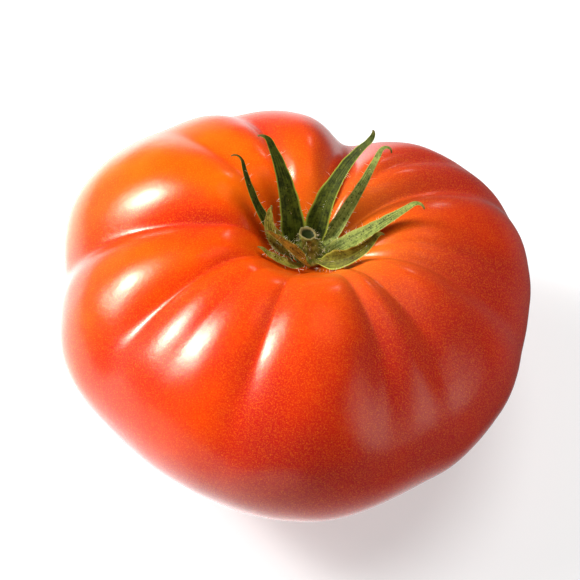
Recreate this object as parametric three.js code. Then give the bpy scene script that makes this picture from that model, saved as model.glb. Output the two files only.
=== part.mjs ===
// A ribbed beefsteak tomato, picked, with its green calyx and a short cut stalk.
// Millimetres, +Z up. The tomato rests on the flat spot at its blossom end, at z = 0.
// Azimuths are in degrees, counter-clockwise seen from above, with 0 along +X (the right-hand side).
// The stem hollow's axis is not in the middle of the fruit, because the left lobes grew larger.

import * as THREE from 'three';

const RADIANS = Math.PI / 180;

// ---- driving dimensions ----------------------------------------------------------------------

const GIRTH_HEIGHT = 32;         // height of the widest level above the resting face
const STEM_HOLLOW_DEPTH = 16;    // how far the stem hollow sinks below the crowns of the lobes
const STEM_HOLLOW_RADIUS = 13;
const FULLNESS = 0.92;           // 1 makes the side view an ellipse; smaller makes it squarer
const LOWER_TAPER = 0.3;         // how much the lower half draws in below the widest part
const LOWER_FULLNESS = 0.42;     // how much of that the blossom end gains again near the table
const REST_CUT = 1.2;            // how much of the rounded blossom end the flat resting spot removes
const HEART_HEIGHT = 26;         // height of the point that the creases sink towards
const CREASE_ROUNDING_TOP = 1.2; // half-width in degrees of a crease's rounded bottom at the shoulder

// The swelling lobes: azimuth of the middle, reach from the stem axis, and height of the crown.
const LOBES = [
  { at: 5, reach: 45, crown: 56.5 },
  { at: 30, reach: 47.5, crown: 56.5 },
  { at: 60, reach: 44.5, crown: 60 },
  { at: 92, reach: 49, crown: 59.5 },
  { at: 121, reach: 53, crown: 59.5 },
  { at: 153, reach: 54, crown: 61.5 },
  { at: 190, reach: 51.5, crown: 60.5 },
  { at: 222, reach: 49, crown: 61.5 },
  { at: 267, reach: 50.5, crown: 62 },
  { at: 302, reach: 47, crown: 61.5 },
  { at: 325, reach: 45.5, crown: 59 },
  { at: 346, reach: 44.5, crown: 57 },
];

// The creases between the lobes, from the stem hollow down the side: azimuth at the shoulder, depth
// in mm, spread in degrees, the polar angle where the crease fades out, how many degrees it drifts
// on its way to the widest level, and how blunt its bottom has become there, in degrees.
const CREASES = [
  { at: 30, depth: 4.0, spread: 9, endsAt: 125, drift: -6, blunt: 7 },
  { at: 48, depth: 2.0, spread: 8, endsAt: 105, drift: -10, blunt: 8 },
  { at: 73, depth: 12.0, spread: 12, endsAt: 140, drift: 8, blunt: 6 },
  { at: 108, depth: 4.5, spread: 9, endsAt: 120, drift: 6, blunt: 7 },
  { at: 133, depth: 2.6, spread: 10, endsAt: 110, drift: -7, blunt: 8 },
  { at: 175, depth: 6.0, spread: 11, endsAt: 150, drift: 0, blunt: 4 },
  { at: 210, depth: 4.0, spread: 10, endsAt: 105, drift: 1, blunt: 7 },
  { at: 229, depth: 1.6, spread: 11, endsAt: 100, drift: -2, blunt: 9 },
  { at: 252, depth: 2.6, spread: 9, endsAt: 90, drift: -4, blunt: 8 },
  { at: 294, depth: 3.0, spread: 9, endsAt: 100, drift: -8, blunt: 8 },
  { at: 312, depth: 3.2, spread: 8, endsAt: 105, drift: -5, blunt: 8 },
  { at: 343, depth: 3.2, spread: 8, endsAt: 120, drift: 0, blunt: 7 },
  { at: 355, depth: 1.8, spread: 7, endsAt: 110, drift: 0, blunt: 7 },
];

const SEPAL_ROOT_RADIUS = 4.1;   // the sepals grow from a ring just outside the stalk's foot
const SEPAL_ROOT_HEIGHT = 46.2;
const SEPAL_THICKNESS = 0.7;

// The sepals: azimuth and height of the root, heading and climb (degrees above level) at the root
// and at the tip, length and width in mm, how deeply the blade is channelled, its roll about its own
// midrib, and how the last stretch of the tip bends: up or down, and round to the left (positive).
const SEPALS = [
  { name: 'sepal_left_slender', root: 181, length: 25, width: 2.3,
    heading: [158, 111], climb: [46, 70], channel: 0.3, roll: [0, 20],
    tipRise: -90, tipTurn: 105, green: 'dark' },
  { name: 'sepal_back_broad', root: 139, rootLift: 0.5, length: 23, width: 5,
    heading: [98, 127], climb: [57, 40], channel: 0.3, roll: [0, 0],
    tipRise: -57, tipTurn: 60, green: 'dark' },
  { name: 'sepal_back_long', root: 76, rootLift: 0.3, length: 25.5, width: 5,
    heading: [68, 10], climb: [57, 42], channel: 0.3, roll: [0, 0],
    tipRise: -80, tipTurn: 100, green: 'dark' },
  { name: 'sepal_right_narrow', root: 36, length: 24, width: 3.3,
    heading: [47, 54], climb: [36, 42], channel: 0.3, roll: [0, 0],
    tipRise: -150, tipTurn: -120, green: 'pale' },
  { name: 'sepal_right_flecked', root: -5, length: 21.7, width: 4.2,
    heading: [13, 19], climb: [30, 30], channel: 0.3, roll: [0, 0],
    tipRise: -90, tipTurn: -80, green: 'pale' },
  { name: 'sepal_front_short', root: 299, rootLift: 1.5, length: 16, width: 3.8,
    heading: [325, 400], climb: [28, 50], channel: 0.5, roll: [25, 60],
    tipRise: -90, tipTurn: -70, green: 'olive' },
  { name: 'sepal_withered_brown', root: 263, rootLift: 0.9, length: 10.9, width: 3.2,
    heading: [152, 163], climb: [38, 37], channel: 0.7, roll: [30, 30],
    tipRise: -15, tipTurn: 0, green: 'brown' },
  { name: 'sepal_withered_curled', root: 206, rootLift: 1.3, length: 12.4, width: 2.8,
    heading: [192, 46], climb: [38, 62], channel: 0.7, roll: [0, 0],
    tipRise: 60, tipTurn: -70, green: 'straw' },
  { name: 'sepal_front_left_small', root: 245, rootLift: 0.3, length: 10.6, width: 2.8,
    heading: [208, 150], climb: [31, 42], channel: 0.3, roll: [0, 0],
    tipRise: -30, tipTurn: 30, green: 'straw' },
];

const STALK_TOP_HEIGHT = 51.8;
const STALK_LEAN = [-0.09, 0.09]; // sideways mm for each mm of height above the foot, along X and Y
const STALK_FOOT_HEIGHT = 46.4;

// ---- materials -------------------------------------------------------------------------------

const SKIN_COLOUR = '#e2421b';
const STALK_COLOUR = '#4d4a1c';
const SEPAL_COLOURS = {
  dark: '#4a5219',
  pale: '#92934f',
  olive: '#6e6a20',
  brown: '#7c5118',
  straw: '#8f7f36',
};

function plantMaterial(colour, roughness) {
  return new THREE.MeshStandardMaterial({ color: colour, roughness, metalness: 0 });
}

// ---- shared helpers --------------------------------------------------------------------------

function blend(from, to, share) {
  return from + (to - from) * share;
}

// 0 below 0, 1 above 1, and a smooth step between.
function smoothStep(x) {
  const held = THREE.MathUtils.clamp(x, 0, 1);
  return held * held * (3 - 2 * held);
}

// Moves every vertex of a geometry to where place(x, y, z) says.
function reshape(geometry, place) {
  const positions = geometry.getAttribute('position');
  for (let i = 0; i < positions.count; i += 1) {
    const moved = place(positions.getX(i), positions.getY(i), positions.getZ(i));
    positions.setXYZ(i, moved.x, moved.y, moved.z);
  }
  geometry.computeVertexNormals();
  return geometry;
}

// ---- the fruit -------------------------------------------------------------------------------

// A lobe's size at any azimuth, eased from the middle of each lobe to the middle of the next.
function aroundLobes(azimuth, key) {
  const turn = THREE.MathUtils.euclideanModulo(azimuth, 360);
  for (let i = 0; i < LOBES.length; i += 1) {
    const here = LOBES[i];
    const next = LOBES[(i + 1) % LOBES.length];
    const gap = THREE.MathUtils.euclideanModulo(next.at - here.at, 360);
    const past = THREE.MathUtils.euclideanModulo(turn - here.at, 360);
    if (past < gap) {
      return blend(here[key], next[key], smoothStep(past / gap));
    }
  }
  return LOBES[0][key];
}

const MEAN_CROWN = LOBES.reduce((sum, lobe) => sum + lobe.crown, 0) / LOBES.length;

// How deep all the creases together cut at one place. polar is 0 at the stem and 180 underneath.
function creaseDepth(polar, azimuth) {
  const shoulder = 40;
  const risesBy = 26;
  const bluntening = THREE.MathUtils.clamp((polar - 35) / 65, 0, 1) ** 1.3;
  let depth = 0;
  for (const crease of CREASES) {
    const path = crease.at + crease.drift * (polar - shoulder) / 50;
    const away = THREE.MathUtils.euclideanModulo(azimuth - path + 180, 360) - 180;
    const rounding = blend(CREASE_ROUNDING_TOP, crease.blunt, bluntening);
    const valley = Math.exp(-(Math.hypot(away, rounding) - rounding) / crease.spread);
    const fade = polar < shoulder ? 1 : smoothStep((crease.endsAt - polar) / (crease.endsAt - shoulder));
    depth += crease.depth * valley * fade * smoothStep(polar / risesBy);
  }
  return depth;
}

// The surface at one polar angle and azimuth: a flattened upper half with the stem hollow pressed
// in, a tapering lower half cut flat where it rests, and the creases sunk towards the heart.
function fruitPoint(polar, azimuth) {
  const sine = Math.sin(polar * RADIANS);
  const cosine = Math.cos(polar * RADIANS);
  const fullReach = aroundLobes(azimuth, 'reach') * sine ** FULLNESS;
  let radius;
  let height;
  if (cosine >= 0) {
    const crown = blend(MEAN_CROWN, aroundLobes(azimuth, 'crown'), smoothStep(sine / 0.35));
    radius = fullReach;
    height = blend(GIRTH_HEIGHT, crown, cosine)
      - STEM_HOLLOW_DEPTH * Math.exp(-((radius / STEM_HOLLOW_RADIUS) ** 2));
  } else {
    radius = fullReach * (1 - LOWER_TAPER * cosine ** 2 + LOWER_FULLNESS * cosine ** 4);
    height = GIRTH_HEIGHT * (1 + cosine) + REST_CUT * cosine ** 3;
  }
  const fromHeart = Math.hypot(radius, height - HEART_HEIGHT);
  const keep = 1 - creaseDepth(polar, azimuth) / fromHeart;
  radius *= keep;
  height = Math.max(blend(HEART_HEIGHT, height, keep), 0);
  return new THREE.Vector3(
    radius * Math.cos(azimuth * RADIANS),
    radius * Math.sin(azimuth * RADIANS),
    height,
  );
}

function makeFruit() {
  const around = 72;
  const downwards = 36;
  const ball = new THREE.SphereGeometry(1, around, downwards).rotateX(90 * RADIANS);
  reshape(ball, (x, y, z) => {
    const polar = Math.acos(THREE.MathUtils.clamp(z, -1, 1)) / RADIANS;
    const azimuth = Math.atan2(y, x) / RADIANS;
    return fruitPoint(polar, azimuth);
  });
  const fruit = new THREE.Mesh(ball, plantMaterial(SKIN_COLOUR, 0.28));
  fruit.name = 'fruit';
  return fruit;
}

// ---- the cut stalk ---------------------------------------------------------------------------

// The stalk stands on a flared foot in the stem hollow. Its cut top is a rim round a shallow pith.
function makeStalk() {
  const outline = [
    [0, 44.7],
    [3.2, 45.7],
    [3.5, 46.2],
    [3.0, 46.7],
    [2.1, 47.3],
    [1.7, 48.6],
    [1.55, 50.2],
    [1.75, 51.3],
    [1.7, STALK_TOP_HEIGHT],
    [1.15, STALK_TOP_HEIGHT],
    [0.8, STALK_TOP_HEIGHT - 0.7],
    [0, STALK_TOP_HEIGHT - 0.8],
  ].map(([radius, height]) => new THREE.Vector2(radius, height));
  const turned = new THREE.LatheGeometry(outline, 24).rotateX(90 * RADIANS);
  reshape(turned, (x, y, z) => {
    const above = Math.max(z - STALK_FOOT_HEIGHT, 0);
    return new THREE.Vector3(x + STALK_LEAN[0] * above, y + STALK_LEAN[1] * above, z);
  });
  const stalk = new THREE.Mesh(turned, plantMaterial(STALK_COLOUR, 0.7));
  stalk.name = 'stem_stub';
  return stalk;
}

// ---- the sepals ------------------------------------------------------------------------------

// The share of the full width at one share of the length: narrow at the root, widest at a third,
// then tapering to a blunt point.
function bladeWidth(share) {
  const widestAt = 0.16;
  const rootShare = 0.45;
  const tipShare = 0.2;
  const pointStarts = 0.88;
  const leastShare = 0.1;
  if (share < widestAt) {
    return blend(rootShare, 1, Math.sin(share / widestAt * 90 * RADIANS));
  }
  const past = (share - widestAt) / (1 - widestAt);
  const point = Math.sqrt(Math.min((1 - past) / (1 - pointStarts), 1));
  return Math.max(blend(1, tipShare, past) * point, leastShare);
}

// The midrib as a list of frames: a point, the direction of growth, and the blade's own side and
// top directions there. The midrib leaves its root in a straight climb and bends by degrees.
function midribFrames(sepal, steps) {
  const tipStarts = 0.86;
  const rootHeight = SEPAL_ROOT_HEIGHT + (sepal.rootLift ?? 0);
  const point = new THREE.Vector3(
    SEPAL_ROOT_RADIUS * Math.cos(sepal.root * RADIANS),
    SEPAL_ROOT_RADIUS * Math.sin(sepal.root * RADIANS),
    rootHeight,
  );
  const frames = [];
  for (let i = 0; i <= steps; i += 1) {
    const share = i / steps;
    const tip = THREE.MathUtils.clamp((share - tipStarts) / (1 - tipStarts), 0, 1);
    const heading = (blend(...sepal.heading, share) + sepal.tipTurn * tip) * RADIANS;
    const climb = (blend(...sepal.climb, share) + sepal.tipRise * tip * tip) * RADIANS;
    const growth = new THREE.Vector3(
      Math.cos(climb) * Math.cos(heading),
      Math.cos(climb) * Math.sin(heading),
      Math.sin(climb),
    );
    if (i > 0) {
      point.addScaledVector(frames[i - 1].growth, sepal.length / steps / 2);
      point.addScaledVector(growth, sepal.length / steps / 2);
    }
    const level = new THREE.Vector3(Math.sin(heading), -Math.cos(heading), 0);
    const side = level.applyAxisAngle(growth, blend(...sepal.roll, share) * RADIANS);
    const top = new THREE.Vector3().crossVectors(side, growth);
    frames.push({ point: point.clone(), growth, side, top });
  }
  return frames;
}

// A blade is a thin box, bent along its midrib, with a channel down the middle and thinner rims.
function makeSepal(sepal) {
  const steps = 16;
  const across = 4;
  const frames = midribFrames(sepal, steps);
  const slab = new THREE.BoxGeometry(2, 1, 1, across, steps, 1);
  reshape(slab, (x, y, z) => {
    const share = y + 0.5;
    const frame = frames[Math.round(share * steps)];
    const halfWidth = sepal.width / 2 * bladeWidth(share);
    const thickness = SEPAL_THICKNESS * (1 - 0.4 * x * x) * (1 - 0.35 * share);
    const lift = sepal.channel * halfWidth * x * x + thickness * z;
    return frame.point.clone()
      .addScaledVector(frame.side, x * halfWidth)
      .addScaledVector(frame.top, lift);
  });
  const blade = new THREE.Mesh(slab, plantMaterial(SEPAL_COLOURS[sepal.green], 0.65));
  blade.name = sepal.name;
  return blade;
}

// ---- the whole tomato ------------------------------------------------------------------------

const tomato = new THREE.Group();
tomato.add(makeFruit());
tomato.add(makeStalk());
for (const sepal of SEPALS) {
  tomato.add(makeSepal(sepal));
}

// The frame's origin is on the resting face, under the middle of the tomato's box.
const middle = new THREE.Box3().setFromObject(tomato).getCenter(new THREE.Vector3());
tomato.position.set(-middle.x, -middle.y, 0);

export default tomato;
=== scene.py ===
# A ribbed beefsteak tomato on a plain pale table. Metres, +Z up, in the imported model's frame.
import math
import random

import bpy
import numpy as np
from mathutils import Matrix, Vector, noise


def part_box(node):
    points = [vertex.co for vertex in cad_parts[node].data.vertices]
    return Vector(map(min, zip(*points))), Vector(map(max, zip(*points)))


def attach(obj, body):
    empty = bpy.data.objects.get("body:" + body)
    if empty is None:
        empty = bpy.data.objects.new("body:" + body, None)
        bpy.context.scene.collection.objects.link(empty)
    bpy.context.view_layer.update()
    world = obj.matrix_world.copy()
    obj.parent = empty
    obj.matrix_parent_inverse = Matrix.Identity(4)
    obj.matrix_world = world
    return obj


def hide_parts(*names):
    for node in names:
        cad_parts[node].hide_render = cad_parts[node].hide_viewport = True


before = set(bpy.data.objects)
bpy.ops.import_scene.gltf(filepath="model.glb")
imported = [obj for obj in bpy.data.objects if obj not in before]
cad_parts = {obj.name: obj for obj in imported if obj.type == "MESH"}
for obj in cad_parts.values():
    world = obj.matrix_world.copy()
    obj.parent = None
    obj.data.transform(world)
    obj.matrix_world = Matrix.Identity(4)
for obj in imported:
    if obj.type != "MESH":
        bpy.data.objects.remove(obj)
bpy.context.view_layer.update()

MM = 0.001

# ---- The fruit ---------------------------------------------------------------------------------
# One berry, grown in one piece: a tight glossy skin over red flesh, ribbed by the creases between
# its seed chambers, with a stem hollow on top and a corky blossom scar underneath.

# Sizes in mm, from the stem's axis and the table. The taper and the fullness shape the lower half.
GIRTH_HEIGHT = 32
HOLLOW_DEPTH = 16
HOLLOW_RADIUS = 13
FULLNESS = 0.92
LOWER_TAPER = 0.3
LOWER_FULLNESS = 0.42
REST_CUT = 1.2
HEART_HEIGHT = 26
SHOULDER_ROUNDING = 1.2
SHOULDER_ANGLE = 40
FRUIT_TOP = 58
SWELL = 0.5
RIPPLE = 0.09
SCAR_RADIUS = 3.2
SCAR_DEPTH = 1.1

# Each swelling lobe: azimuth of its middle in degrees, reach and crown height in mm.
LOBES = [
    (5, 45, 56.5), (30, 47.5, 56.5), (60, 44.5, 60), (92, 49, 59.5), (121, 53, 59.5),
    (153, 54, 61.5), (190, 51.5, 60.5), (222, 49, 61.5), (267, 50.5, 62), (302, 47, 61.5),
    (325, 45.5, 59), (346, 44.5, 57),
]
# Each crease: azimuth, depth in mm, spread, polar angle where it ends, drift and final bluntness.
CREASES = [
    (30, 4.0, 9, 125, -6, 7), (48, 2.0, 8, 105, -10, 8), (73, 12.0, 12, 140, 8, 6),
    (108, 4.5, 9, 120, 6, 7), (133, 2.6, 10, 110, -7, 8), (175, 6.0, 11, 150, 0, 4),
    (210, 4.0, 10, 105, 1, 7), (229, 1.6, 11, 100, -2, 9), (252, 2.6, 9, 90, -4, 8),
    (294, 3.0, 9, 100, -8, 8), (312, 3.2, 8, 105, -5, 8), (343, 3.2, 8, 120, 0, 7),
    (355, 1.8, 7, 110, 0, 7),
]


def blend(start, end, share):
    return start + (end - start) * share


def smooth_step(x):
    held = np.clip(x, 0, 1)
    return held * held * (3 - 2 * held)


def around_lobes(azimuth, column):
    """A lobe's reach or crown at each azimuth, eased from one lobe's middle to the next."""
    middles = np.array([lobe[0] for lobe in LOBES] + [LOBES[0][0] + 360], float)
    sizes = np.array([lobe[column] for lobe in LOBES] + [LOBES[0][column]], float)
    turn = np.mod(azimuth, 360)
    turn = np.where(turn < middles[0], turn + 360, turn)
    i = np.clip(np.searchsorted(middles, turn, side="right") - 1, 0, len(LOBES) - 1)
    share = (turn - middles[i]) / (middles[i + 1] - middles[i])
    return blend(sizes[i], sizes[i + 1], smooth_step(share))


def crease_depth(polar, azimuth):
    """How deep all the creases together cut, in mm. Polar is 0 at the stem and 180 underneath."""
    bluntening = np.clip((polar - 35) / 65, 0, 1) ** 1.3
    depth = np.zeros_like(polar)
    for at, deep, spread, ends_at, drift, blunt in CREASES:
        path = at + drift * (polar - SHOULDER_ANGLE) / 50
        away = np.mod(azimuth - path + 180, 360) - 180
        rounding = blend(SHOULDER_ROUNDING, blunt, bluntening)
        valley = np.exp(-(np.hypot(away, rounding) - rounding) / spread)
        fade = smooth_step((ends_at - polar) / (ends_at - SHOULDER_ANGLE))
        fade = np.where(polar < SHOULDER_ANGLE, 1, fade)
        depth += deep * valley * fade * smooth_step(polar / 26)
    return depth


def fruit_surface(polar, azimuth):
    """Points of the skin in mm from the stem's axis, and the creases' depth there."""
    sine = np.sin(np.radians(polar))
    cosine = np.cos(np.radians(polar))
    mean_crown = np.mean([lobe[2] for lobe in LOBES])
    crown = blend(mean_crown, around_lobes(azimuth, 2), smooth_step(sine / 0.35))
    full_reach = around_lobes(azimuth, 1) * np.abs(sine) ** FULLNESS
    hollow = HOLLOW_DEPTH * np.exp(-(full_reach / HOLLOW_RADIUS) ** 2)
    upper = cosine >= 0
    lower_shape = 1 - LOWER_TAPER * cosine ** 2 + LOWER_FULLNESS * cosine ** 4
    radius = np.where(upper, full_reach, full_reach * lower_shape)
    height = np.where(
        upper,
        blend(GIRTH_HEIGHT, crown, cosine) - hollow,
        GIRTH_HEIGHT * (1 + cosine) + REST_CUT * cosine ** 3,
    )
    depth = crease_depth(polar, azimuth)
    keep = 1 - depth / np.hypot(radius, height - HEART_HEIGHT)
    radius = radius * keep
    height = np.maximum(blend(HEART_HEIGHT, height, keep), 0)
    across = np.radians(azimuth)
    return np.stack([radius * np.cos(across), radius * np.sin(across), height], -1), depth


def loft(name, rings):
    """A mesh through rings of points, each ring closed on itself, with a fan over each end."""
    count, around = rings.shape[:2]
    last = count - 1
    vertices = [tuple(p) for ring in rings for p in ring]
    faces = []
    for here in range(0, last * around, around):
        after = here + around
        for j in range(around):
            k = (j + 1) % around
            faces.append((here + j, here + k, after + k, after + j))
    for ring, outwards in ((0, -1), (last, 1)):
        middle = len(vertices)
        vertices.append(tuple(rings[ring].mean(axis=0)))
        for j in range(around):
            pair = (ring * around + j, ring * around + (j + 1) % around)
            faces.append((middle, *pair[::outwards]))
    mesh = bpy.data.meshes.new(name)
    mesh.from_pydata(vertices, [], faces)
    mesh.shade_smooth()
    piece = bpy.data.objects.new(name, mesh)
    bpy.context.scene.collection.objects.link(piece)
    return piece


def paint(piece, name, values):
    """Stores one number for each vertex, for the material to read."""
    attribute = piece.data.attributes.new(name, "FLOAT", "POINT")
    attribute.data.foreach_set("value", np.asarray(values, np.float32).ravel())


def add_node(tree, kind, inputs=None, **settings):
    """Adds a shader node, sets its properties, and gives its inputs their links or values."""
    node = tree.nodes.new(kind)
    for key, value in settings.items():
        setattr(node, key, value)
    for key, value in (inputs or {}).items():
        if isinstance(value, bpy.types.NodeSocket):
            tree.links.new(value, node.inputs[key])
        else:
            node.inputs[key].default_value = value
    return node


def read_attribute(tree, name):
    return add_node(tree, "ShaderNodeAttribute", attribute_name=name).outputs["Fac"]


def math_node(tree, operation, *values, **settings):
    node = add_node(tree, "ShaderNodeMath", dict(enumerate(values)), operation=operation, **settings)
    return node.outputs[0]


def rescale(tree, value, start, end, low=0.0, high=1.0):
    """Maps a value from start..end to low..high, held at both ends."""
    node = add_node(tree, "ShaderNodeMapRange",
                    {"Value": value, "From Min": start, "From Max": end,
                     "To Min": low, "To Max": high})
    return node.outputs[0]


def colour_mix(tree, factor, first, second, mode="MIX"):
    """Mixes two colours, each a link or an RGB triple."""
    node = add_node(tree, "ShaderNodeMix", data_type="RGBA", blend_type=mode)
    for socket, value in (("Factor_Float", factor), ("A_Color", first), ("B_Color", second)):
        target = next(s for s in node.inputs if s.identifier == socket)
        if isinstance(value, bpy.types.NodeSocket):
            tree.links.new(value, target)
        elif socket == "Factor_Float":
            target.default_value = value
        else:
            target.default_value = (*value, 1)
    return next(s for s in node.outputs if s.identifier == "Result_Color")


def colour_ramp(tree, factor, stops):
    """A colour ramp through (position, RGB) stops."""
    node = add_node(tree, "ShaderNodeValToRGB", {"Fac": factor})
    elements = node.color_ramp.elements
    while len(elements) < len(stops):
        elements.new(0.5)
    for element, (position, colour) in zip(elements, stops):
        element.position = position
        element.color = (*colour, 1)
    return node.outputs["Color"]


def new_material(name):
    """A material with only its Principled shader and output, and the shader to fill in."""
    material = bpy.data.materials.new(name)
    material.use_nodes = True
    tree = material.node_tree
    shader = next(n for n in tree.nodes if n.type == "BSDF_PRINCIPLED")
    return material, tree, shader


def make_dots_group():
    """Small round dots scattered over a surface, some strong and some faint, as a mask."""
    group = bpy.data.node_groups.new("scattered dots", "ShaderNodeTree")
    group.interface.new_socket("Dots per metre", in_out="INPUT", socket_type="NodeSocketFloat")
    group.interface.new_socket("Dot size", in_out="INPUT", socket_type="NodeSocketFloat")
    group.interface.new_socket("Mask", in_out="OUTPUT", socket_type="NodeSocketFloat")
    inside = group.nodes.new("NodeGroupInput")
    outside = group.nodes.new("NodeGroupOutput")
    place = add_node(group, "ShaderNodeTexCoord").outputs["Object"]
    cells = add_node(group, "ShaderNodeTexVoronoi",
                     {"Vector": place, "Scale": inside.outputs["Dots per metre"]})
    closeness = math_node(group, "DIVIDE", cells.outputs["Distance"], inside.outputs["Dot size"])
    dot = math_node(group, "SUBTRACT", 1.0, closeness, use_clamp=True)
    strength = add_node(group, "ShaderNodeSeparateColor", {"Color": cells.outputs["Color"]})
    mask = math_node(group, "MULTIPLY", dot, strength.outputs[0])
    group.links.new(mask, outside.inputs["Mask"])
    return group


dots_group = make_dots_group()


def scattered_dots(tree, per_metre, size):
    node = tree.nodes.new("ShaderNodeGroup")
    node.node_tree = dots_group
    node.inputs["Dots per metre"].default_value = per_metre
    node.inputs["Dot size"].default_value = size
    return node.outputs["Mask"]


def make_fruit():
    around = 400
    upwards = 240
    polar = np.linspace(179.85, 0.15, upwards)[:, None] * np.ones((1, around))
    azimuth = np.linspace(0, 360, around, endpoint=False)[None, :] * np.ones((upwards, 1))
    points, depth = fruit_surface(polar, azimuth)

    # The skin is never quite even: slow undulations, with a finer ripple over them.
    spots = points.reshape(-1, 3)
    swell = np.array([noise.noise(Vector(p) * 0.055) for p in spots]).reshape(polar.shape)
    ripple = np.array([noise.noise(Vector(p) * 0.16) for p in spots]).reshape(polar.shape)
    above_rest = smooth_step(points[..., 2] / 6)
    outwards = points - np.array([0, 0, HEART_HEIGHT])
    outwards /= np.linalg.norm(outwards, axis=-1, keepdims=True)
    points += outwards * ((SWELL * swell + RIPPLE * ripple) * above_rest)[..., None]

    # Underneath, the blossom scar is a shallow puckered dimple in the flat resting spot.
    from_axis = np.hypot(points[..., 0], points[..., 1])
    underneath = points[..., 2] < 3
    pucker = 1 + 0.25 * np.cos(np.radians(azimuth) * 7)
    dimple = np.where(underneath, np.exp(-(from_axis / (SCAR_RADIUS * pucker)) ** 2), 0)
    points[..., 2] += SCAR_DEPTH * dimple

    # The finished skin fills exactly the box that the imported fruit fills.
    low, high = (np.array(corner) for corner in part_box("fruit"))
    shape_low = points.reshape(-1, 3).min(axis=0)
    shape_high = points.reshape(-1, 3).max(axis=0)
    places = low + (points - shape_low) / (shape_high - shape_low) * (high - low)
    fruit = loft("tomato_fruit", places)

    # Ripeness with painted light and shade mixed in: orange high up and deep red low down, under a
    # slow random mottle. Painted light makes the left side, facing the key light, more orange, and
    # painted shade makes the front, most of all low down, and the creases a darker red.
    rise = points[..., 2] / FRUIT_TOP
    # Painted light: the left side, which faces the key light, is painted more orange.
    key_light_side = -0.8 * outwards[..., 0] - 0.05 * outwards[..., 1]
    mottle = np.array([noise.noise(Vector(p) * 0.07 + Vector((7, 3, 1))) for p in spots])
    # Painted shade: the front side is painted a darker red, the more so low down.
    front = -outwards[..., 1]
    # The depth term is painted shade: the creases are painted a darker red.
    ripeness_and_painted_light = 0.90 - 0.40 * rise - 0.40 * key_light_side + 0.52 * front * (1.25 - rise) + 0.08 * depth
    ripeness_and_painted_light += 0.20 * mottle.reshape(polar.shape)

    # Each list of two is the value at the middle of the underside and of the hollow.
    paint(fruit, "ripeness_and_painted_light", np.append(np.clip(ripeness_and_painted_light, 0, 1), [0.5, 0.5]))
    to_right = 0.55 + 0.45 * np.cos(np.radians(azimuth - 15))
    near_stem = np.exp(-(from_axis / 19) ** 2) * to_right * (points[..., 2] > 20)
    paint(fruit, "near_stem", np.append(near_stem, [0, 1]))
    paint(fruit, "scar", np.append(dimple, [1, 0]))
    return fruit


def skin_material():
    material, tree, shader = new_material("tomato skin")
    place = add_node(tree, "ShaderNodeTexCoord").outputs["Object"]

    blotches = add_node(tree, "ShaderNodeTexNoise", {"Vector": place, "Scale": 130, "Detail": 3})
    unevenness = math_node(tree, "MULTIPLY_ADD", blotches.outputs["Fac"], 0.3, -0.15)
    ripeness_and_painted_light = math_node(tree, "ADD", read_attribute(tree, "ripeness_and_painted_light"), unevenness)
    # The ramp turns ripeness into colour, with its painted light and shade: orange where the key
    # light falls, darker red for the painted shade on the front and in the creases.
    colour_with_painted_light = colour_ramp(tree, ripeness_and_painted_light, [
        (0.0, (0.90, 0.200, 0.001)),
        (0.30, (0.86, 0.115, 0.001)),
        (0.55, (0.76, 0.042, 0.001)),
        (0.80, (0.56, 0.014, 0.005)),
        (1.0, (0.44, 0.011, 0.012)),
    ])

    # Fine gold grain over the whole skin, and fewer, larger pale flecks.
    grain = add_node(tree, "ShaderNodeTexNoise",
                     {"Vector": place, "Scale": 3600, "Detail": 1, "Roughness": 0.6})
    grain_mask = math_node(tree, "MULTIPLY_ADD", grain.outputs["Fac"], 5.0, -2.3, use_clamp=True)
    grained = colour_mix(tree, math_node(tree, "MULTIPLY", grain_mask, 0.24),
                         colour_with_painted_light, (0.98, 0.20, 0.001))
    flecks = scattered_dots(tree, 3000, 0.34)
    flecked = colour_mix(tree, math_node(tree, "MULTIPLY", flecks, 0.5),
                         grained, (1.0, 0.40, 0.02))

    # Skin close to the stalk ripens last and stays yellowish; the blossom scar is dry brown cork.
    late = math_node(tree, "MULTIPLY", read_attribute(tree, "near_stem"), 0.55)
    shouldered = colour_mix(tree, late, flecked, (0.95, 0.30, 0.012))
    cork = math_node(tree, "MULTIPLY", read_attribute(tree, "scar"), 0.9)
    coloured = colour_mix(tree, cork, shouldered, (0.20, 0.105, 0.035))

    shine = rescale(tree, blotches.outputs["Fac"], 0, 1, 0.20, 0.27)
    rough = math_node(tree, "MAXIMUM", shine,
                      math_node(tree, "MULTIPLY", read_attribute(tree, "scar"), 0.8))
    dimples = add_node(tree, "ShaderNodeTexNoise", {"Vector": place, "Scale": 900, "Detail": 2})
    bump = add_node(tree, "ShaderNodeBump",
                    {"Height": dimples.outputs["Fac"], "Strength": 0.10, "Distance": 0.0003})

    tree.links.new(coloured, shader.inputs["Base Color"])
    tree.links.new(rough, shader.inputs["Roughness"])
    tree.links.new(bump.outputs["Normal"], shader.inputs["Normal"])
    shader.inputs["IOR"].default_value = 1.47
    shader.inputs["Specular Tint"].default_value = (1.0, 0.88, 0.70, 1)
    shader.inputs["Subsurface Weight"].default_value = 0.18
    shader.inputs["Subsurface Radius"].default_value = (1.0, 0.22, 0.08)
    shader.inputs["Subsurface Scale"].default_value = 0.003
    return material


fruit = make_fruit()
fruit.data.materials.append(skin_material())
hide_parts("fruit")
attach(fruit, "root")

# ---- The cut stalk -----------------------------------------------------------------------------
# The stub of the fruit stalk, cut with shears: a hairy green stem with shallow ribs, flaring into
# the disc that the sepals grow from, with a dry tan rim round the sunken pith of the cut.

stalk_low, stalk_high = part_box("stem_stub")
stem_axis = (stalk_low + stalk_high) / 2
STALK_LEAN = (-0.09, 0.09)
STALK_FOOT = 46.4

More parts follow.
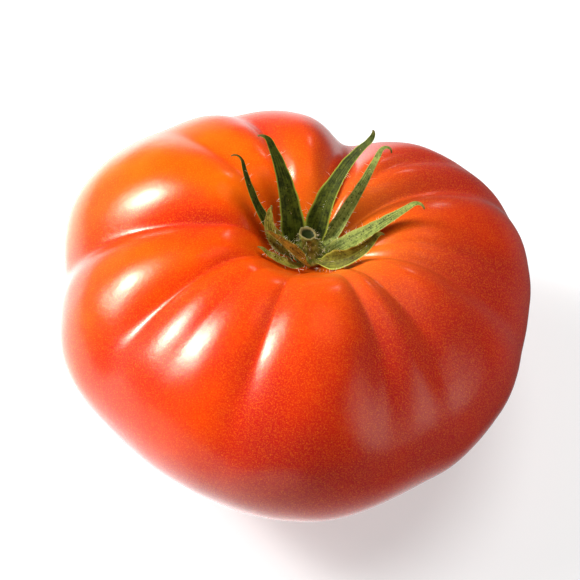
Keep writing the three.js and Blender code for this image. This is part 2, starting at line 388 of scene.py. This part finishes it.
# The outline's radius and height in mm, from the middle of the foot to the middle of the pith.
# The dry cut starts about at its eleventh corner, and the pith at its fourteenth.
CUT_CORNER = 11.2
PITH_CORNER = 14.2
STALK_OUTLINE = [
    (0.3, 44.8), (2.2, 45.2), (3.2, 45.7), (3.45, 46.2), (3.1, 46.7), (2.6, 47.1), (2.25, 47.8),
    (2.0, 48.7), (1.82, 49.8), (1.74, 50.6), (1.76, 51.2), (1.76, 51.55), (1.66, 51.75),
    (1.48, 51.78), (1.33, 51.7), (1.22, 51.45), (1.1, 51.2), (0.8, 51.02), (0.3, 50.95),
]


def make_stalk():
    around = 96
    coarse = np.array(STALK_OUTLINE)
    spacing = np.linspace(0, len(coarse) - 1, 110)
    radius = np.interp(spacing, np.arange(len(coarse)), coarse[:, 0])[:, None]
    height = np.interp(spacing, np.arange(len(coarse)), coarse[:, 1])[:, None]
    turn = np.linspace(0, 2 * math.pi, around, endpoint=False)[None, :]
    ribs = 1 + 0.035 * np.cos(5 * turn + 0.6) + 0.018 * np.cos(11 * turn)
    x = radius * ribs * np.cos(turn)
    y = radius * ribs * np.sin(turn)
    above = np.maximum(height - STALK_FOOT, 0)
    slant = smooth_step((height - 49.5) / 2.5)
    z = height + 0 * turn + slant * (-0.28 * x - 0.05 * y) - 0.35 * slant
    x = x + STALK_LEAN[0] * above
    y = y + STALK_LEAN[1] * above
    wobble = np.array([
        noise.noise(Vector(p) * 1.3)
        for p in np.stack([x, y, z], -1).reshape(-1, 3)
    ]).reshape(x.shape)
    x = x + 0.06 * wobble
    places = np.stack([x * MM + stem_axis.x, y * MM + stem_axis.y, z * MM], -1)
    stalk = loft("cut_stalk", places)
    cut = smooth_step((spacing - CUT_CORNER) / 1.2)[:, None] + 0 * turn
    pith = smooth_step((spacing - PITH_CORNER) / 1.5)[:, None] + 0 * turn
    paint(stalk, "cut", np.append(cut, [0, 1]))
    paint(stalk, "pith", np.append(pith, [0, 1]))
    return stalk


def stalk_material():
    material, tree, shader = new_material("stalk")
    place = add_node(tree, "ShaderNodeTexCoord").outputs["Object"]
    patches = add_node(tree, "ShaderNodeTexNoise", {"Vector": place, "Scale": 900, "Detail": 4})
    green = colour_ramp(tree, patches.outputs["Fac"], [
        (0.34, (0.045, 0.060, 0.007)),
        (0.50, (0.125, 0.150, 0.017)),
        (0.66, (0.25, 0.28, 0.050)),
    ])
    downy = scattered_dots(tree, 3200, 0.32)
    fuzzed = colour_mix(tree, math_node(tree, "MULTIPLY", downy, 0.6), green, (0.42, 0.42, 0.22))
    rim = colour_mix(tree, read_attribute(tree, "cut"), fuzzed, (0.24, 0.19, 0.065))
    coloured = colour_mix(tree, read_attribute(tree, "pith"), rim, (0.020, 0.028, 0.004))
    bump = add_node(tree, "ShaderNodeBump",
                    {"Height": patches.outputs["Fac"], "Strength": 0.5, "Distance": 0.0002})
    tree.links.new(coloured, shader.inputs["Base Color"])
    tree.links.new(bump.outputs["Normal"], shader.inputs["Normal"])
    shader.inputs["Roughness"].default_value = 0.62
    shader.inputs["Specular IOR Level"].default_value = 0.3
    return material


stalk = make_stalk()
stalk.data.materials.append(stalk_material())
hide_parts("stem_stub")
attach(stalk, "root")

# ---- The sepals --------------------------------------------------------------------------------
# The green leaves of the calyx, each grown from the stalk's foot: thin pointed blades, channelled
# along the midrib, hairy, with paler rims. Three have withered and folded while drying.

ROOT_RADIUS = 4.1
ROOT_HEIGHT = 46.2
BLADE_THICKNESS = 0.7
BLADE_STEPS = 110
POINT_SHARE = 0.12
CURL_STARTS = 0.86

# Each sepal: where round the stalk it starts, its sizes in mm, how it heads and climbs from root to
# tip in degrees, how deeply it is channelled, how it rolls, and how its tip curls.
SEPALS = [
    dict(name="sepal_left_slender", root=181, length=25, width=2.9,
         heading=(158, 111), climb=(46, 70), channel=0.3,
         roll=(0, 20), tip_rise=-90, tip_turn=105, look="dark"),
    dict(name="sepal_back_broad", root=139, lift=0.5, length=23, width=5,
         heading=(98, 127), climb=(57, 40), channel=0.3,
         roll=(0, 0), tip_rise=-57, tip_turn=60, look="dark"),
    dict(name="sepal_back_long", root=76, lift=0.3, length=25.5, width=5,
         heading=(68, 10), climb=(57, 42), channel=0.3,
         roll=(0, 0), tip_rise=-80, tip_turn=100, look="dark"),
    dict(name="sepal_right_narrow", root=36, length=24, width=3.3,
         heading=(47, 54), climb=(36, 42), channel=0.3,
         roll=(0, 0), tip_rise=-150, tip_turn=-120, look="pale"),
    dict(name="sepal_right_flecked", root=-5, length=21.7, width=4.2,
         heading=(13, 19), climb=(30, 30), channel=0.3,
         roll=(0, 0), tip_rise=-90, tip_turn=-80, look="pale"),
    dict(name="sepal_front_short", root=299, lift=1.5, length=16, width=3.8,
         heading=(325, 400), climb=(28, 50), channel=0.5,
         roll=(25, 60), tip_rise=-90, tip_turn=-70, look="olive"),
    dict(name="sepal_withered_brown", root=263, lift=0.9, length=10.9, width=3.2,
         heading=(152, 163), climb=(38, 37), channel=0.4,
         roll=(20, 10), tip_rise=-15, tip_turn=0, look="brown"),
    dict(name="sepal_withered_curled", root=206, lift=1.3, length=12.4, width=3.5,
         heading=(192, 46), climb=(38, 62), channel=0.5,
         roll=(0, 0), tip_rise=60, tip_turn=-70, look="straw"),
    dict(name="sepal_front_left_small", root=245, lift=0.3, length=10.6, width=2.8,
         heading=(208, 150), climb=(31, 42), channel=0.3,
         roll=(0, 0), tip_rise=-30, tip_turn=30, look="straw"),
]

# Each look: shaded green, lit green, rim, and fleck colours, and the record's material slot.
LOOKS = {
    # The dark and pale looks are one green painted twice: dark as painted shade for the blades
    # turned away from the key light, pale as painted light for the blades turned towards it.
    "dark": dict(shaded=(0.015, 0.022, 0.002), lit=(0.085, 0.105, 0.008), rim=(0.34, 0.37, 0.04),
                 fleck=(0.008, 0.012, 0.002), slot="sepal_dark_green"),
    "pale": dict(shaded=(0.075, 0.10, 0.014), lit=(0.30, 0.34, 0.07), rim=(0.34, 0.34, 0.07),
                 fleck=(0.022, 0.026, 0.005), slot="sepal_pale_green"),
    "olive": dict(shaded=(0.055, 0.055, 0.005), lit=(0.17, 0.17, 0.016), rim=(0.40, 0.41, 0.06),
                  fleck=(0.05, 0.025, 0.004), slot="sepal_olive"),
    "brown": dict(shaded=(0.14, 0.055, 0.005), lit=(0.46, 0.19, 0.020), rim=(0.24, 0.24, 0.03),
                  fleck=(0.035, 0.012, 0.003), slot="sepal_brown"),
    "straw": dict(shaded=(0.13, 0.12, 0.010), lit=(0.42, 0.38, 0.06), rim=(0.34, 0.21, 0.05),
                  fleck=(0.06, 0.025, 0.005), slot="sepal_straw"),
}


def blade_width(share, root_share):
    """The share of the full width: narrow at the root, then tapering evenly to a short point."""
    widest_at = 0.12 if root_share > 0.5 else 0.3
    swelling = blend(root_share, 1, np.sin(np.clip(share / widest_at, 0, 1) * math.pi / 2))
    past = np.clip((share - widest_at) / (1 - widest_at), 0, 1)
    point = np.sqrt(np.clip((1 - past) / POINT_SHARE, 0, 1))
    tapering = np.maximum(blend(1, 0.2, past) * point, 0.1)
    return np.where(share < widest_at, swelling, tapering)


def midrib(sepal):
    """Points along a sepal's midrib in mm, with the blade's own directions there."""
    share = np.linspace(-0.05, 1, BLADE_STEPS)
    grown = np.maximum(share, 0)
    tip = np.clip((share - CURL_STARTS) / (1 - CURL_STARTS), 0, 1)
    heading = np.radians(blend(*sepal["heading"], grown) + sepal["tip_turn"] * tip)
    climb = np.radians(blend(*sepal["climb"], grown) + sepal["tip_rise"] * tip ** 2)
    growth = np.stack([np.cos(climb) * np.cos(heading), np.cos(climb) * np.sin(heading),
                       np.sin(climb)], -1)
    moves = (growth[1:] + growth[:-1]) / 2 * sepal["length"] * (share[1] - share[0])
    root = np.radians(sepal["root"])
    start = np.array([ROOT_RADIUS * np.cos(root), ROOT_RADIUS * np.sin(root),
                      ROOT_HEIGHT + sepal.get("lift", 0)])
    start = start + share[0] * sepal["length"] * growth[0]
    points = start + np.vstack([np.zeros(3), np.cumsum(moves, axis=0)])
    level = np.stack([np.sin(heading), -np.cos(heading), 0 * heading], -1)
    roll = np.radians(blend(*sepal["roll"], grown))[:, None]
    side = level * np.cos(roll) + np.cross(growth, level) * np.sin(roll)
    return share, points, growth, side, np.cross(side, growth)


def make_sepal(sepal, seed):
    around = 44
    share, points, _, side, top = midrib(sepal)
    turn = np.linspace(2 * math.pi, 0, around, endpoint=False)
    across = np.cos(turn)[None, :] * np.ones((BLADE_STEPS, 1))
    along = share[:, None] * np.ones((1, around))
    withered = sepal["look"] in ("brown", "straw")
    profile = blade_width(share, 0.8 if sepal["look"] in ("dark", "pale") else 0.3)[:, None]

    # Each rim waves a little by itself, and a withered blade crumples.
    crumple = 0.3 if withered else 0.12
    waves = np.array([
        [noise.noise(Vector((9 * s, seed * 5.7, 3 if c > 0 else 8))) for c in np.cos(turn)]
        for s in share
    ])
    half_width = sepal["width"] / 2 * profile * (1 + 0.10 * waves)
    thickness = BLADE_THICKNESS * (1 - 0.35 * along) * (0.75 if withered else 0.8)
    body = np.sin(turn)[None, :] * thickness / 2
    rounding = np.sqrt(np.clip(1 - 0.75 * across ** 2, 0, 1))
    groove = -0.10 * np.exp(-(across / 0.16) ** 2) * profile
    lift = (sepal["channel"] * half_width * across ** 2 + body * rounding + groove
            + crumple * waves * half_width * across ** 2)
    places = (points[:, None, :] + side[:, None, :] * (across * half_width)[..., None]
              + top[:, None, :] * lift[..., None])
    places = places * MM + np.array([stem_axis.x, stem_axis.y, 0])

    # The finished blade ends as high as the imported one.
    foot = ROOT_HEIGHT * MM
    packed_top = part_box(sepal["name"])[1].z
    rise = np.maximum(places[..., 2] - foot, 0)
    places[..., 2] -= rise * (1 - (packed_top - foot) / rise.max())
    blade = loft(sepal["name"].replace("sepal", "calyx_leaf"), places)
    paint(blade, "across", np.append(across, [0, 0]))
    paint(blade, "along", np.append(along, [0, 1]))
    return blade


def make_markings_group():
    """A sepal's colours: mottled green with lengthwise stripes, dark flecks and a paler rim."""
    group = bpy.data.node_groups.new("sepal markings", "ShaderNodeTree")
    for socket in ("Shaded", "Lit", "Rim", "Fleck"):
        group.interface.new_socket(socket, in_out="INPUT", socket_type="NodeSocketColor")
    group.interface.new_socket("Across", in_out="INPUT", socket_type="NodeSocketFloat")
    group.interface.new_socket("Along", in_out="INPUT", socket_type="NodeSocketFloat")
    group.interface.new_socket("Color", in_out="OUTPUT", socket_type="NodeSocketColor")
    group.interface.new_socket("Height", in_out="OUTPUT", socket_type="NodeSocketFloat")
    given = group.nodes.new("NodeGroupInput").outputs
    made = group.nodes.new("NodeGroupOutput").inputs
    place = add_node(group, "ShaderNodeTexCoord").outputs["Object"]

    patches = add_node(group, "ShaderNodeTexNoise",
                       {"Vector": place, "Scale": 620, "Detail": 5, "Roughness": 0.72})
    sideways = add_node(group, "ShaderNodeCombineXYZ",
                        {"X": math_node(group, "MULTIPLY", given["Across"], 6),
                         "Y": math_node(group, "MULTIPLY", given["Along"], 2.5)})
    stripes = add_node(group, "ShaderNodeTexNoise",
                       {"Vector": sideways.outputs[0], "Scale": 1.0, "Detail": 3})
    tone = math_node(group, "ADD", math_node(group, "MULTIPLY", patches.outputs["Fac"], 0.7),
                     math_node(group, "MULTIPLY", stripes.outputs["Fac"], 0.5))
    lit_share = rescale(group, tone, 0.50, 0.72)
    green = colour_mix(group, lit_share, given["Shaded"], given["Lit"])

    flecks = math_node(group, "MULTIPLY", scattered_dots(group, 2100, 0.50), 1.6, use_clamp=True)
    flecked = colour_mix(group, flecks, green, given["Fleck"])
    edge = math_node(group, "ABSOLUTE", given["Across"])
    rim_mask = rescale(group, edge, 0.80, 0.95, 0.0, 0.85)
    rimmed = colour_mix(group, rim_mask, flecked, given["Rim"])
    rib_mask = rescale(group, edge, 0.0, 0.12, 0.45, 0.0)
    ribbed = colour_mix(group, rib_mask, rimmed, given["Lit"])
    dry_tip = rescale(group, given["Along"], 0.93, 1.0, 0.0, 0.6)
    group.links.new(colour_mix(group, dry_tip, ribbed, (0.20, 0.13, 0.05)), made["Color"])
    group.links.new(tone, made["Height"])
    return group


markings_group = make_markings_group()


def sepal_material(name, look):
    material, tree, shader = new_material(name + " sepal")
    markings = tree.nodes.new("ShaderNodeGroup")
    markings.node_tree = markings_group
    for socket in ("Shaded", "Lit", "Rim", "Fleck"):
        markings.inputs[socket].default_value = (*look[socket.lower()], 1)
    tree.links.new(read_attribute(tree, "across"), markings.inputs["Across"])
    tree.links.new(read_attribute(tree, "along"), markings.inputs["Along"])
    bump = add_node(tree, "ShaderNodeBump",
                    {"Height": markings.outputs["Height"], "Strength": 0.45, "Distance": 0.0003})
    tree.links.new(markings.outputs["Color"], shader.inputs["Base Color"])
    tree.links.new(bump.outputs["Normal"], shader.inputs["Normal"])
    shader.inputs["Roughness"].default_value = 0.6
    shader.inputs["Specular IOR Level"].default_value = 0.12
    return material


sepal_materials = {name: sepal_material(name, look) for name, look in LOOKS.items()}
for seed, sepal in enumerate(SEPALS):
    blade = make_sepal(sepal, seed)
    blade.data.materials.append(sepal_materials[sepal["look"]])
    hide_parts(sepal["name"])
    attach(blade, "root")

# ---- The fine hairs ----------------------------------------------------------------------------
# Tomato stalks and sepals are downy: stiff, tapering, almost clear hairs a millimetre long stand
# out from the rims and midribs, and thickest round the foot of the stalk.

random.seed(11)
HAIR_SIDES = 4
HAIR_WIDTH = 0.055 * MM
HAIRS_PER_SEPAL = 34
HAIRS_ON_STALK = 110


def add_hair(places, faces, root, direction, length):
    """One tapering, slightly bent hair, closed at both ends."""
    direction = direction.normalized()
    aside = direction.orthogonal().normalized()
    over = direction.cross(aside)
    bend = Vector([random.uniform(-1, 1) for _ in range(3)]) * 0.22 * length
    first = len(places)
    for share, breadth in ((0.0, 1.0), (0.5, 0.75), (1.0, 0.12)):
        centre = root + direction * length * share + bend * share ** 2
        for k in range(HAIR_SIDES):
            turn = 2 * math.pi * k / HAIR_SIDES
            reach = (aside * math.cos(turn) + over * math.sin(turn)) * HAIR_WIDTH / 2 * breadth
            places.append(centre + reach)
    for ring in (0, 1):
        for k in range(HAIR_SIDES):
            here = first + ring * HAIR_SIDES
            after = (k + 1) % HAIR_SIDES
            faces.append((here + k, here + after, here + HAIR_SIDES + after, here + HAIR_SIDES + k))
    faces.append(tuple(first + k for k in reversed(range(HAIR_SIDES))))
    faces.append(tuple(first + 2 * HAIR_SIDES + k for k in range(HAIR_SIDES)))


def make_hairs(name, roots):
    """All the hairs of one piece as one mesh. Each root is a place, a direction and a length."""
    places = []
    faces = []
    for root, direction, length in roots:
        add_hair(places, faces, root, direction, length)
    mesh = bpy.data.meshes.new(name)
    mesh.from_pydata([tuple(p) for p in places], [], faces)
    hairs = bpy.data.objects.new(name, mesh)
    bpy.context.scene.collection.objects.link(hairs)
    return hairs


def hair_material():
    material, tree, shader = new_material("clear plant hair")
    place = add_node(tree, "ShaderNodeTexCoord").outputs["Object"]
    tint = add_node(tree, "ShaderNodeTexNoise", {"Vector": place, "Scale": 800})
    pale = colour_ramp(tree, tint.outputs["Fac"], [
        (0.35, (0.62, 0.50, 0.26)),
        (0.65, (0.85, 0.80, 0.60)),
    ])
    tree.links.new(pale, shader.inputs["Base Color"])
    shader.inputs["Roughness"].default_value = 0.4
    return material


def blade_hair_roots(sepal):
    """Hairs along both rims and the midrib, thinning out towards the tip."""
    share, points, growth, side, top = midrib(sepal)
    roots = []
    for _ in range(HAIRS_PER_SEPAL):
        i = int(8 + 84 * random.random() ** 1.4)
        across = random.choice((-1, -1, 1, 1, 0))
        half_width = sepal["width"] / 2 * blade_width(share[i], 0.8) * across
        lift = sepal["channel"] * abs(half_width)
        place = points[i] + side[i] * half_width * 0.96 + top[i] * lift
        lean = side[i] * across * random.uniform(0.5, 1.1) + top[i] * random.uniform(-0.2, 0.9)
        lean = lean + growth[i] * random.uniform(-0.3, 0.5)
        root = Vector(place * MM) + Vector((stem_axis.x, stem_axis.y, 0))
        roots.append((root, Vector(lean), random.uniform(0.45, 1.25) * MM))
    return roots


hair = hair_material()
for sepal in SEPALS:
    hairs = make_hairs(sepal["name"].replace("sepal", "hairs"), blade_hair_roots(sepal))
    hairs.data.materials.append(hair)
    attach(hairs, "root")

stalk_roots = []
for _ in range(HAIRS_ON_STALK):
    turn = random.uniform(0, 2 * math.pi)
    height = random.uniform(46.3, 51.3)
    radius = np.interp(height, [46.2, 46.7, 47.8, 48.7, 51.3], [3.3, 3.0, 2.15, 1.95, 1.7])
    above = max(height - STALK_FOOT, 0)
    spot = Vector((radius * math.cos(turn) + STALK_LEAN[0] * above,
                   radius * math.sin(turn) + STALK_LEAN[1] * above, height)) * MM
    outwards = Vector((math.cos(turn), math.sin(turn), random.uniform(-0.2, 0.5)))
    stalk_roots.append((spot + Vector((stem_axis.x, stem_axis.y, 0)), outwards,
                        random.uniform(0.35, 0.9) * MM))
stalk_hairs = make_hairs("hairs_stalk", stalk_roots)
stalk_hairs.data.materials.append(hair)
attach(stalk_hairs, "root")

# ---- The table and the light -------------------------------------------------------------------
# Stage only: a plain white light table that runs to the horizon, a large soft box on the left, and
# white bounce cards round the set. The studio itself is dim, so only the lamps show in the gloss.

bpy.ops.mesh.primitive_plane_add(size=12, location=(0, 0, 0))
table = bpy.context.object
table.name = "table"
table_material, table_tree, table_shader = new_material("lit white table")
table_shader.inputs["Roughness"].default_value = 0.9
table_shader.inputs["Specular IOR Level"].default_value = 0.1
table_shader.inputs["Emission Color"].default_value = (1, 1, 1, 1)
table_place = add_node(table_tree, "ShaderNodeTexCoord").outputs["Object"]
table_axes = add_node(table_tree, "ShaderNodeSeparateXYZ", {"Vector": table_place}).outputs
table_rays = add_node(table_tree, "ShaderNodeLightPath").outputs

# In the gloss the table is brightest on the left, most of all near the fruit's front left, and it
# fades away on the right and towards the back.
FRONT_LEFT = (-0.03, -0.08, 0)
from_front_left = add_node(table_tree, "ShaderNodeVectorMath",
                           {0: table_place, 1: FRONT_LEFT}, operation="DISTANCE").outputs["Value"]
glow = rescale(table_tree, table_axes["X"], -0.06, 0.06, 2.6, 0.05)
for share in (rescale(table_tree, table_axes["Y"], 0.05, 0.30, 1.0, 0.08),
              rescale(table_tree, table_axes["Y"], -0.10, 0.0, 0.55, 1.15),
              rescale(table_tree, from_front_left, 0.0, 0.10, 1.6, 1.0)):
    glow = math_node(table_tree, "MULTIPLY", glow, share)

# Seen directly it is white, and whiter away from the fruit, so the horizon doesn't show.
from_middle = add_node(table_tree, "ShaderNodeVectorMath", {0: table_place},
                       operation="LENGTH").outputs["Value"]
white = rescale(table_tree, from_middle, 0.2, 0.9, 0.5, 1.0)
seen_directly = math_node(table_tree, "MULTIPLY", table_rays["Is Camera Ray"], white)
seen_in_gloss = math_node(table_tree, "MULTIPLY", table_rays["Is Glossy Ray"], glow)
on_flesh = math_node(table_tree, "MULTIPLY", table_rays["Is Diffuse Ray"], 0.24)
table_strength = math_node(table_tree, "ADD", seen_directly,
                           math_node(table_tree, "ADD", seen_in_gloss, on_flesh))
table_colour = colour_mix(table_tree, table_rays["Is Glossy Ray"],
                          (0.5, 0.5, 0.5), (0.05, 0.05, 0.05))
table_tree.links.new(table_colour, table_shader.inputs["Base Color"])
table_tree.links.new(table_strength, table_shader.inputs["Emission Strength"])
table.data.materials.append(table_material)

# The studio is white to look at and dim as a light, with a pale wall low on the left.
STUDIO_DIM = 0.05
world = bpy.data.worlds.new("studio")
bpy.context.scene.world = world
world.use_nodes = True
studio = world.node_tree
background = studio.nodes["Background"]
background.inputs["Color"].default_value = (1, 1, 1, 1)
rays = add_node(studio, "ShaderNodeLightPath").outputs
as_backdrop = math_node(studio, "MAXIMUM", rays["Is Camera Ray"],
                        math_node(studio, "MULTIPLY", rays["Is Diffuse Ray"], 0.09))
looking = add_node(studio, "ShaderNodeTexCoord").outputs["Generated"]
towards = add_node(studio, "ShaderNodeSeparateXYZ", {"Vector": looking}).outputs
wall = math_node(studio, "MULTIPLY", rescale(studio, towards["X"], -0.95, -0.3, 0.7, STUDIO_DIM),
                 rescale(studio, towards["Z"], 0.05, 0.30, 1.0, 0.1))
wall_in_gloss = math_node(studio, "MULTIPLY", wall, rays["Is Glossy Ray"])
studio_strength = math_node(studio, "MAXIMUM",
                            math_node(studio, "MAXIMUM", as_backdrop, STUDIO_DIM), wall_in_gloss)
studio.links.new(studio_strength, background.inputs["Strength"])

fruit_low, fruit_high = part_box("fruit")
middle = (fruit_low + fruit_high) / 2


def from_angles(azimuth, elevation, distance):
    """A point around the tomato's middle. Azimuth is counter-clockwise from +X, in degrees."""
    turn = math.radians(azimuth)
    rise = math.radians(elevation)
    return middle + distance * Vector((
        math.cos(rise) * math.cos(turn), math.cos(rise) * math.sin(turn), math.sin(rise)))


def soft_box(name, azimuth, elevation, distance, size, power):
    """An oval white lamp aimed at the tomato. Sizes in metres, power in watts."""
    light = bpy.data.lights.new(name, "AREA")
    light.shape = "ELLIPSE"
    light.size, light.size_y = size
    light.energy = power
    lamp = bpy.data.objects.new(name, light)
    lamp.location = from_angles(azimuth, elevation, distance)
    lamp.rotation_euler = (middle - lamp.location).to_track_quat("-Z", "Y").to_euler()
    bpy.context.scene.collection.objects.link(lamp)
    return lamp


# The key light and the front card are ovals one behind another, so their reflections are brightest
# in the middle and fade out. The overhead fill is kept out of the gloss.
soft_box("key hot centre", 168, 36, 1.48, (0.27, 0.20), 7)
soft_box("key diffuser", 168, 36, 1.5, (0.54, 0.40), 16)
soft_box("key diffuser edge", 168, 36, 1.52, (1.05, 0.80), 17)
soft_box("front card", -28, 14, 1.2, (0.45, 0.60), 0.8)
soft_box("front card edge", -28, 14, 1.22, (0.85, 1.10), 1.9)
soft_box("back lamp", 71, 19, 1.4, (0.14, 0.14), 0.4)
overhead = soft_box("overhead fill", 40, 74, 1.5, (1.0, 1.0), 15)
overhead.visible_glossy = False

# ---- The camera --------------------------------------------------------------------------------
# Stage only: a long lens on a stand in front of the table, half a metre off, looking down on the
# tomato, and aimed a little behind its middle.

LENS = 161
CAMERA_ELEVATION = 51
CAMERA_DISTANCE = 0.52
AIM_OFFSET = Vector((-1.1, 4.9, 1.65)) * MM

camera_data = bpy.data.cameras.new("camera")
camera_data.lens = LENS
camera_data.sensor_width = 36
camera = bpy.data.objects.new("camera", camera_data)
aim = middle + AIM_OFFSET
rise = math.radians(CAMERA_ELEVATION)
camera.location = aim + CAMERA_DISTANCE * Vector((0, -math.cos(rise), math.sin(rise)))
camera.rotation_euler = (aim - camera.location).to_track_quat("-Z", "Y").to_euler()
bpy.context.scene.collection.objects.link(camera)
bpy.context.scene.camera = camera
bpy.context.scene.view_settings.view_transform = "Standard"
